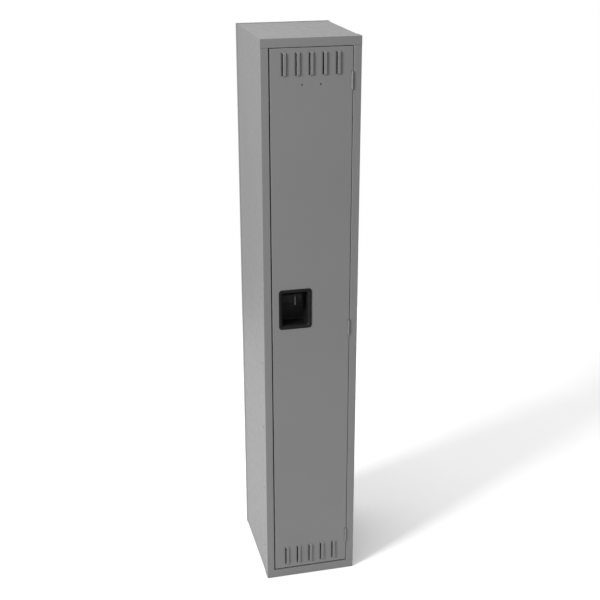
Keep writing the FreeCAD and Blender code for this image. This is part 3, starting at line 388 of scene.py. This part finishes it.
def make_cup(finishes):
    """Rounded bezel, flared mouth, tapered well with a radiused floor, and slots for arm and eye."""
    low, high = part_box("handle_cup")
    lift_low, lift_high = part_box("finger_lift")
    eye_low, eye_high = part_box("padlock_eye")
    face = low.y + BEZEL_RISE
    rear = high.y

    def rim(inset, depth, radius):
        return rounded_loop(low.x + inset, high.x - inset, low.z + inset, high.z - inset, radius,
                            face + depth)

    mouth = (low.x + BEZEL_WIDTH, high.x - BEZEL_WIDTH, low.z + BEZEL_WIDTH, high.z - BEZEL_WIDTH)

    def flare(share, depth, radius, grow=0.0):
        left, right, bottom, top = [share * amount + grow for amount in LEAD_IN]
        return rounded_loop(mouth[0] - left, mouth[1] + right, mouth[2] - bottom, mouth[3] + top, radius,
                            face + depth)

    def well(share, depth, radius, shrink=0.0):
        taper = DRAFT * share
        return rounded_loop(mouth[0] + taper + shrink, mouth[1] - taper - shrink, mouth[2] + taper + shrink,
                            mouth[3] - shrink, radius, depth)

    floor = rear - CUP_WALL
    fillet = 0.004
    loops = [well(1, rear, 0.003, 0.0015 - CUP_WALL), well(1, rear - 0.0015, 0.0045, -CUP_WALL),
             well(0, face, 0.0045, -CUP_WALL),
             rim(0.0004, 0.0, 0.0096), rim(0.0, -0.0003, 0.010), rim(0.0, -0.0008, 0.010),
             rim(0.0002, -0.0013, 0.0098), rim(0.0006, -0.0017, 0.0094), rim(0.0012, -0.00194, 0.0088),
             rim(0.0020, -0.0020, 0.0080),
             flare(1.0, -0.0020, 0.0075, 0.0012), flare(1.0, -0.00185, 0.0070, 0.0004),
             flare(0.86, -0.0013, 0.0066), flare(0.62, -0.0002, 0.0060), flare(0.34, 0.0012, 0.0055),
             flare(0.12, 0.0026, 0.0051), flare(0.0, 0.0042, 0.0050),
             well(0.5, (face + floor) / 2, 0.0050), well(1, floor - fillet, 0.0050)]
    for degrees in (22.5, 45, 67.5, 90):
        angle = math.radians(degrees)
        inward = fillet * (1 - math.cos(angle))
        loops.append(well(1, floor - fillet * (1 - math.sin(angle)), 0.0050 - 0.8 * inward, inward))
    mesh = loft("handle_cup_moulding", loops)
    arm_height = (lift_low.z + 0.010, lift_low.z + 0.034)
    arm = box_mesh((mouth[0] - 0.006, lift_high.y - ARM_GAUGE - SLOT_PLAY, arm_height[0] - 0.002),
                   (mouth[0] + 0.004, lift_high.y + SLOT_PLAY, arm_height[1] + LATCH_TRAVEL + 0.002))
    middle = (eye_low.x + eye_high.x) / 2
    fin = box_mesh((middle - 0.0017, floor - 0.003, eye_low.z + 0.004 - 0.0002),
                   (middle + 0.0017, rear + 0.002, eye_high.z - 0.004 + 0.0002))
    piece = add_piece("handle_cup_moulding", applied("handle_cup_moulding", mesh, [arm, fin]), "handle_cup",
                      "black_plastic", finishes)
    shade_smooth(piece)
    return piece


# Bolts, rivets and studs: the node, the way its heads face, and the kind.
FASTENERS = (("left_frame_bolts", (-1, 0, 0), "bolt"), ("right_frame_bolts", (1, 0, 0), "bolt"),
             ("back_bolts", (0, 1, 0), "bolt"), ("shelf_bolts", (0, 0, 1), "bolt"),
             ("left_wall_hook_rivets", (1, 0, 0), "rivet"), ("right_wall_hook_rivets", (-1, 0, 0), "rivet"),
             ("ceiling_hook_rivets", (0, 0, -1), "rivet"), ("hinge_rivets", (-1, 0, 0), "rivet"),
             ("lift_rivets", (0, -1, 0), "rivet"), ("padlock_eye_rivets", (0, -1, 0), "rivet"),
             ("latch_bar_studs", (0, -1, 0), "stud"))
HEAD_HEIGHTS = {"bolt": 0.0016, "rivet": 0.0012, "stud": 0.0018}
SHANK_RADII = {"bolt": 0.0024, "rivet": 0.0020, "stud": 0.0030}
THREAD_PITCH = 0.0008
THREAD_DEPTH = 0.00025


def solids_of(node):
    """Lowest and highest corner of each separate solid of a CAD node."""
    built = bmesh.new()
    built.from_mesh(frame["nodes"][node].data)
    bmesh.ops.remove_doubles(built, verts=built.verts, dist=0.00001)
    found = []
    waiting = set(built.verts)
    while waiting:
        group = [waiting.pop()]
        for corner in group:
            for edge in corner.link_edges:
                other = edge.other_vert(corner)
                if other in waiting:
                    waiting.remove(other)
                    group.append(other)
        found.append(tuple(tuple(pick(corner.co[axis] for corner in group) for axis in range(3))
                           for pick in (min, max)))
    built.free()
    return sorted(found)


def revolve(name, profile, steps=28):
    """A closed turned shape about Z from (radius, height) points, the first and last on the axis."""
    built = bmesh.new()
    rings = []
    for radius, height in profile:
        turns = [0.0] if radius == 0 else [2 * math.pi * step / steps for step in range(steps)]
        rings.append([built.verts.new((radius * math.cos(turn), radius * math.sin(turn), height))
                      for turn in turns])
    for ring, after in zip(rings, rings[1:]):
        for index in range(steps):
            corners = [ring[index % len(ring)], ring[(index + 1) % len(ring)],
                       after[(index + 1) % len(after)], after[index % len(after)]]
            built.faces.new(list(dict.fromkeys(corners)))
    bmesh.ops.recalc_face_normals(built, faces=built.faces)
    mesh = bpy.data.meshes.new(name)
    built.to_mesh(mesh)
    built.free()
    return mesh


def fastener_mesh(kind, head_radius, shank_length):
    """Domed head above z = 0 and shank below; bolts get a cross recess and a rolled thread."""
    head = HEAD_HEIGHTS[kind]
    shank = SHANK_RADII[kind]
    profile = [(head_radius * math.sin(math.radians(turn)), head * math.cos(math.radians(turn)))
               for turn in (0, 15, 30, 45, 58, 70, 80)]
    profile += [(head_radius, head * 0.08), (head_radius, 0.0), (shank, 0.0)]
    if kind == "bolt":
        turn_count = int((shank_length - 0.001) / THREAD_PITCH)
        for turn in range(turn_count):
            start = -0.0005 - turn * THREAD_PITCH
            profile += [(shank, start), (shank - THREAD_DEPTH, start - THREAD_PITCH / 2)]
    profile += [(shank, 0.0006 - shank_length), (shank - 0.0005, -shank_length), (0, -shank_length)]
    mesh = revolve(kind, profile)
    if kind == "bolt":
        long, narrow, deep = head_radius * 0.55, 0.00045, head * 0.45
        cross = [box_mesh((-long, -narrow, deep), (long, narrow, head + 0.001)),
                 box_mesh((-narrow, -long, deep), (narrow, long, head + 0.001))]
        mesh = applied(kind, mesh, cross)
    return mesh


def make_fasteners(finishes):
    """Turned bolts, rivets and studs in the places of the plain ones."""
    slots = {entry["node"]: entry["material_slot"] for entry in frame["record"]["subparts"]}
    for node, out, kind in FASTENERS:
        axis = [abs(part) for part in out].index(1)
        across = (axis + 1) % 3
        group = bmesh.new()
        for number, (low, high) in enumerate(solids_of(node)):
            length = high[axis] - low[axis] - HEAD_HEIGHTS[kind]
            single = fastener_mesh(kind, (high[across] - low[across]) / 2, length)
            seat = Vector([(low[i] + high[i]) / 2 for i in range(3)])
            seat[axis] = high[axis] - HEAD_HEIGHTS[kind] if out[axis] > 0 else low[axis] + HEAD_HEIGHTS[kind]
            turn = Vector(out).to_track_quat("Z", "Y") @ Quaternion((0, 0, 1), math.radians(37 * number))
            single.transform(Matrix.Translation(seat) @ turn.to_matrix().to_4x4())
            group.from_mesh(single)
        mesh = bpy.data.meshes.new(node + "_turned")
        group.to_mesh(mesh)
        group.free()
        piece = add_piece(node + "_turned", mesh, node, slots[node], finishes)
        shade_smooth(piece, 40)


# The floor reaches this far each way; past it the surroundings are the same white.
FLOOR_REACH = 2.2


def add_floor():
    size = FLOOR_REACH
    mesh = bpy.data.meshes.new("floor")
    corners = [(-size, -size, 0), (size, -size, 0), (size, size, 0), (-size, size, 0)]
    mesh.from_pydata(corners, [], [(0, 1, 2, 3)])
    mesh.materials.append(pale_floor())
    floor = bpy.data.objects.new("floor", mesh)
    floor.location.z = cad_box[0].z - 0.0005
    bpy.context.scene.collection.objects.link(floor)


def add_area(name, location, target, size, power, spread):
    data = bpy.data.lights.new(name, "AREA")
    data.shape = "RECTANGLE"
    data.size, data.size_y = size
    data.energy = power
    data.spread = math.radians(spread)
    lamp = bpy.data.objects.new(name, data)
    lamp.location = location
    lamp.rotation_mode = "QUATERNION"
    lamp.rotation_quaternion = (Vector(target) - Vector(location)).to_track_quat("-Z", "Y")
    bpy.context.scene.collection.objects.link(lamp)


# Brightness of the surroundings: to the locker's left, to its right, and below the horizon.
LEFT_SKY = 1.62
RIGHT_SKY = 0.82
GROUND_GLOW = 0.3

# Soft boxes: name, place, aim, size, power in watts and beam angle in degrees.
SOFT_BOXES = (("key_box", (-5.4, -2.7, 3.7), (0, 0, 1.5), (1.8, 1.8), 128.0, 70),
              ("top_box", (-0.1, 0.0, 3.1), (0, 0, 1.8), (1.2, 1.2), 8.0, 180))


def ramp(tree, value, low, high, from_low, from_high):
    """A smooth change from low to high as the value goes from from_low to from_high."""
    node = tree.nodes.new("ShaderNodeMapRange")
    node.interpolation_type = "SMOOTHSTEP"
    for socket, number in zip(("From Min", "From Max", "To Min", "To Max"), (from_low, from_high, low, high)):
        node.inputs[socket].default_value = number
    tree.links.new(value, node.inputs["Value"])
    return node.outputs["Result"]


def add_studio():
    """Surroundings that look plain white but light more softly, and the soft boxes."""
    world = bpy.data.worlds.new("studio")
    world.use_nodes = True
    tree = world.node_tree
    lit = tree.nodes["Background"]
    direction = tree.nodes.new("ShaderNodeTexCoord").outputs["Generated"]
    axes = tree.nodes.new("ShaderNodeSeparateXYZ")
    tree.links.new(direction, axes.inputs["Vector"])
    across = ramp(tree, axes.outputs["X"], LEFT_SKY, RIGHT_SKY, -1.0, 1.0)
    upward = ramp(tree, axes.outputs["Z"], GROUND_GLOW, 1.0, -0.06, 0.06)
    strength = tree.nodes.new("ShaderNodeMath")
    strength.operation = "MULTIPLY"
    tree.links.new(across, strength.inputs[0])
    tree.links.new(upward, strength.inputs[1])
    tree.links.new(strength.outputs["Value"], lit.inputs["Strength"])
    lit.inputs["Color"].default_value = (1.0, 1.0, 1.0, 1.0)
    seen = tree.nodes.new("ShaderNodeBackground")
    seen.inputs["Color"].default_value = (1.0, 1.0, 1.0, 1.0)
    choose = tree.nodes.new("ShaderNodeMixShader")
    tree.links.new(tree.nodes.new("ShaderNodeLightPath").outputs["Is Camera Ray"], choose.inputs["Fac"])
    tree.links.new(lit.outputs["Background"], choose.inputs[1])
    tree.links.new(seen.outputs["Background"], choose.inputs[2])
    tree.links.new(choose.outputs["Shader"], tree.nodes["World Output"].inputs["Surface"])
    bpy.context.scene.world = world
    bpy.context.scene.view_settings.view_transform = "Standard"
    for name, location, target, size, power, spread in SOFT_BOXES:
        add_area(name, location, target, size, power, spread)


finishes = {"grey_paint": grey_paint(), "black_plastic": black_plastic(), "black_steel": black_steel(),
            "zinc_plate": zinc_plate(), "rubber": rubber()}
add_camera()
make_cup(finishes)
make_fasteners(finishes)
finish_nodes(finishes, {"handle_cup"} | {node for node, _, _ in FASTENERS})
add_floor()
add_studio()
